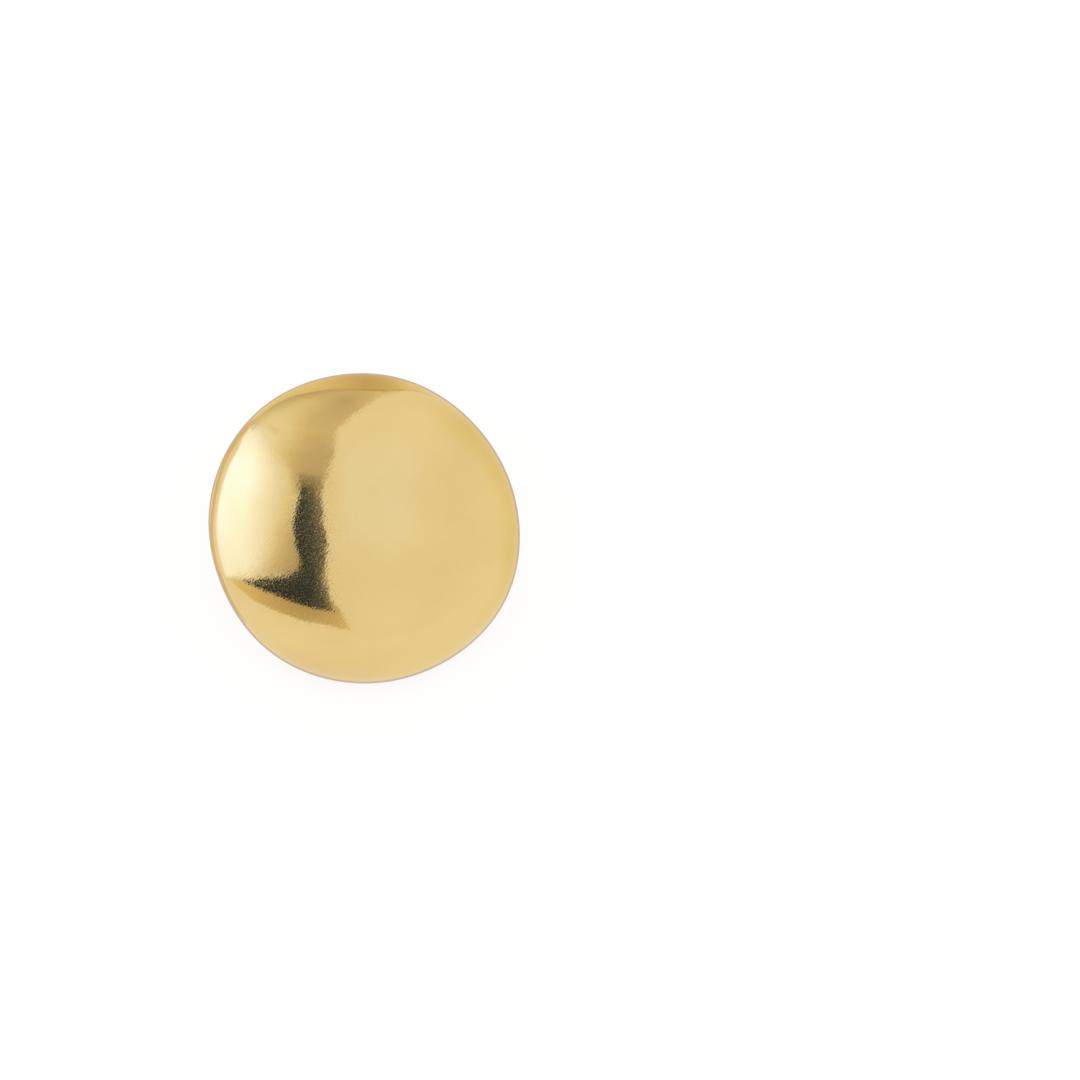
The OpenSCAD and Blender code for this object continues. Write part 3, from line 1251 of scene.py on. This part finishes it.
@dataclass(frozen=True)
class Studio:
    """The white room, its floor and the cards."""

    room: float = 1.0
    floor: str = "#6A6A69"
    floor_deep: str = "#686867"
    floor_clouds: float = 12.0  # faint uneven patches in a metre of floor
    floor_w: float = 3.0  # in m
    # The metal mirrors the floor only under and in front of the earring, up to these lines, in mm.
    # Beyond them it mirrors the cards alone.
    mirrored_from_x: float = -16.0
    mirrored_to_y: float = 40.0
    lamp_power: float = 0.8  # in W
    lamp_w: float = 1.2  # in m, and so is its place
    lamp_place: tuple[float, float, float] = (0.2, -0.3, 1.5)
    floor_glow: float = 0.872
    # The shade under and behind the earring: its light, its width, length and place in mm, and the share
    # of it that is soft
    shade: str = "#D8CCCC"
    shade_w: float = 42.6
    shade_l: float = 52.6
    shade_back: float = 14.0
    shade_z: float = 0.04
    shade_soft: float = 0.025

    @staticmethod
    def show(thing: bpy.types.Object, to: Shown) -> None:
        """Sets which rays meet a thing of the studio.

        Args:
            thing: The thing.
            to: The rays.
        """
        only_metal = to is Shown.ONLY_IN_METAL
        thing.visible_camera = not only_metal
        thing.visible_diffuse = not only_metal
        thing.visible_shadow = not only_metal
        thing.visible_transmission = not only_metal
        thing.visible_glossy = to is not Shown.NOT_IN_METAL

    @staticmethod
    def card_material() -> bpy.types.Material:
        """Builds the glowing material that all cards share, once.

        Returns:
            The material, which reads colour and cover from each point.
        """
        name = "glowing_card"
        if name in bpy.data.materials:
            return bpy.data.materials[name]
        material = bpy.data.materials.new(name)
        material.use_nodes = True
        material.cycles.emission_sampling = "NONE"
        tree = material.node_tree
        tree.nodes.clear()
        given = add_node(tree, "ShaderNodeAttribute", attribute_name="glow")
        glow = add_node(tree, "ShaderNodeEmission", {"Color": given.outputs["Color"], "Strength": 1.0})
        clear = add_node(tree, "ShaderNodeBsdfTransparent")
        mixed = add_node(tree, "ShaderNodeMixShader", [given.outputs["Alpha"], clear, glow])
        add_node(tree, "ShaderNodeOutputMaterial", {"Surface": mixed})
        return material

    @classmethod
    def glowing(
        cls, name: str, points: Sequence[Any], faces: Sequence[Any], glow: Sequence[float]
    ) -> bpy.types.Object:
        """Builds a glowing thing that only metal mirrors.

        Args:
            name: Its name.
            points: The points of its mesh.
            faces: The faces between them.
            glow: The red, green, blue and cover of each point, one after the other.

        Returns:
            The thing.
        """
        mesh = bpy.data.meshes.new(name)
        mesh.from_pydata(points, [], faces)
        mesh.attributes.new("glow", "FLOAT_COLOR", "POINT").data.foreach_set("color", glow)
        mesh.materials.append(cls.card_material())
        thing = plain_object(name, mesh)
        cls.show(thing, Shown.ONLY_IN_METAL)
        return thing

    def floor_material(self) -> bpy.types.Material:
        """Builds the floor's material: opal acrylic lit from below, as on a light table.

        Returns:
            The material. The light from below washes out most of the shadow.
        """
        material = bpy.data.materials.new("lit_opal_acrylic")
        material.use_nodes = True
        material.cycles.emission_sampling = "NONE"
        tree = material.node_tree
        tree.nodes.clear()
        coordinates = add_node(tree, "ShaderNodeTexCoord")
        cloud = add_node(
            tree,
            "ShaderNodeTexNoise",
            {"Vector": coordinates.outputs["Object"], "Scale": self.floor_clouds, "Detail": 2.0},
        )
        tone = add_node(
            tree,
            "ShaderNodeMix",
            {"Factor": cloud.outputs[0], "A": colour(self.floor_deep), "B": colour(self.floor)},
            data_type="RGBA",
        )
        surface = add_node(
            tree,
            "ShaderNodeBsdfPrincipled",
            {
                "Base Color": tone.outputs[2],
                "Roughness": 0.9,
                "Specular IOR Level": 0.0,
                "Emission Color": (1.0, 1.0, 1.0, 1.0),
                "Emission Strength": self.floor_glow,
            },
        )
        add_node(tree, "ShaderNodeOutputMaterial", {"Surface": surface})
        return material

    def build_floor(self) -> None:
        """Builds the floor in three flat parts, of which the metal mirrors only the near one."""
        half = self.floor_w / 2
        left, back = self.mirrored_from_x * MM, self.mirrored_to_y * MM
        parts = {
            "floor_near": ([(left, -half), (half, -half), (half, back), (left, back)], Shown.TO_ALL),
            "floor_left": ([(-half, -half), (left, -half), (left, half), (-half, half)], Shown.NOT_IN_METAL),
            "floor_back": ([(left, back), (half, back), (half, half), (left, half)], Shown.NOT_IN_METAL),
        }
        board = self.floor_material()
        for name, (corners, to) in parts.items():
            mesh = bpy.data.meshes.new(name)
            mesh.from_pydata([(x, y, 0.0) for x, y in corners], [], [(0, 1, 2, 3)])
            part = plain_object(name, mesh)
            part.data.materials.append(board)
            self.show(part, to)

    def build_shade(self) -> None:
        """Builds the shade that lies close under the earring, which the very edge of the dome mirrors."""
        rings, around = 40, 96
        tone = hex_to_linear(self.shade)
        points, glow = [], []
        for i in range(rings + 1):
            share = i / rings
            cover = eased(min(1.0, (1 - share) / self.shade_soft))
            for j in range(around):
                turn = math.tau * j / around
                across = share * self.shade_w / 2 * math.cos(turn)
                back = self.shade_back + share * self.shade_l / 2 * math.sin(turn)
                points.append((across * MM, back * MM, self.shade_z * MM))
                glow += [*tone, cover]
        faces = [
            (i * around + j, (i + 1) * around + j, (i + 1) * around + (j + 1) % around,
             i * around + (j + 1) % around)
            for i in range(rings)
            for j in range(around)
        ]  # fmt: skip
        shade = self.glowing("shade_under_earring", points, faces, glow)

    def build(self, dome: DomeShell, camera: Camera, pose: RestPose) -> None:
        """Builds the room's light, the floor and the cards.

        Args:
            dome: The dome that mirrors the cards.
            camera: The camera that they are placed for.
            pose: Where the earring lies.
        """
        scene = bpy.context.scene
        scene.view_settings.view_transform = "Standard"
        world = bpy.data.worlds.new("white_room")
        scene.world = world
        world.use_nodes = True
        background = world.node_tree.nodes["Background"]
        background.inputs["Color"].default_value = (1.0, 1.0, 1.0, 1.0)
        background.inputs["Strength"].default_value = self.room
        # A soft overhead light that only the matt floor takes
        data = bpy.data.lights.new("soft_overhead", "AREA")
        data.shape = "DISK"
        data.size = self.lamp_w
        data.energy = self.lamp_power
        lamp = plain_object("soft_overhead", data)
        lamp.location = self.lamp_place
        lamp.rotation_euler = (-lamp.location).to_track_quat("-Z", "Y").to_euler()
        lamp.visible_glossy = False
        lamp.visible_camera = False
        self.build_floor()
        self.build_shade()
        eye = camera.eye(dome)
        for card in CARDS:
            card.build(dome, eye, pose)


def main() -> None:
    """Builds the earring and its studio in order."""
    dome = DomeShell()
    plate = BackPlate(dome)
    nut = EarNut(plate)
    pose = RestPose.from_record(frame["record"], plate.foot)
    camera = Camera()
    camera.build(dome, pose)
    turning = TurnedPiece(dome.outline)

    # Gold plate, hand polished on a soft wheel: a clear mirror with faint waves and fine crossing hairlines
    polished = GoldFinish("polished_gold_plate").build(pose)
    # Gold plate, satin brushed: reflections are drawn out to a soft sheen
    satin = GoldFinish(
        "satin_gold_plate", "#DFC17A", "#D8B870", roughness=0.28, ripple_w=2.0, ripple_h=0.002,
        hair_w=0.08, hair_l=4.0, hair_h=0.004, hair_turns=(90.0, 84.0), tick_l=2.0, tick_roughness=0.42,
    ).build(pose)  # fmt: skip
    # Gold plate on rolled spring strip: bright, with fine rolling lines along the strip
    bright = GoldFinish(
        "bright_gold_plate", "#E0C179", "#D9B86E", roughness=0.16, ripple_w=1.0, ripple_h=0.002,
        hair_w=0.07, hair_l=2.0, hair_h=0.002, hair_turns=(20.0,),
    ).build(pose)  # fmt: skip

    pieces = (
        dome.build(turning, pose, polished),
        plate.build(turning, pose, satin),
        nut.build(turning, pose, bright),
    )
    for piece in pieces:
        log.info("%s: %d faces", piece.name, len(piece.data.polygons))
    Studio().build(dome, camera, pose)


if __name__ == "__main__":
    main()
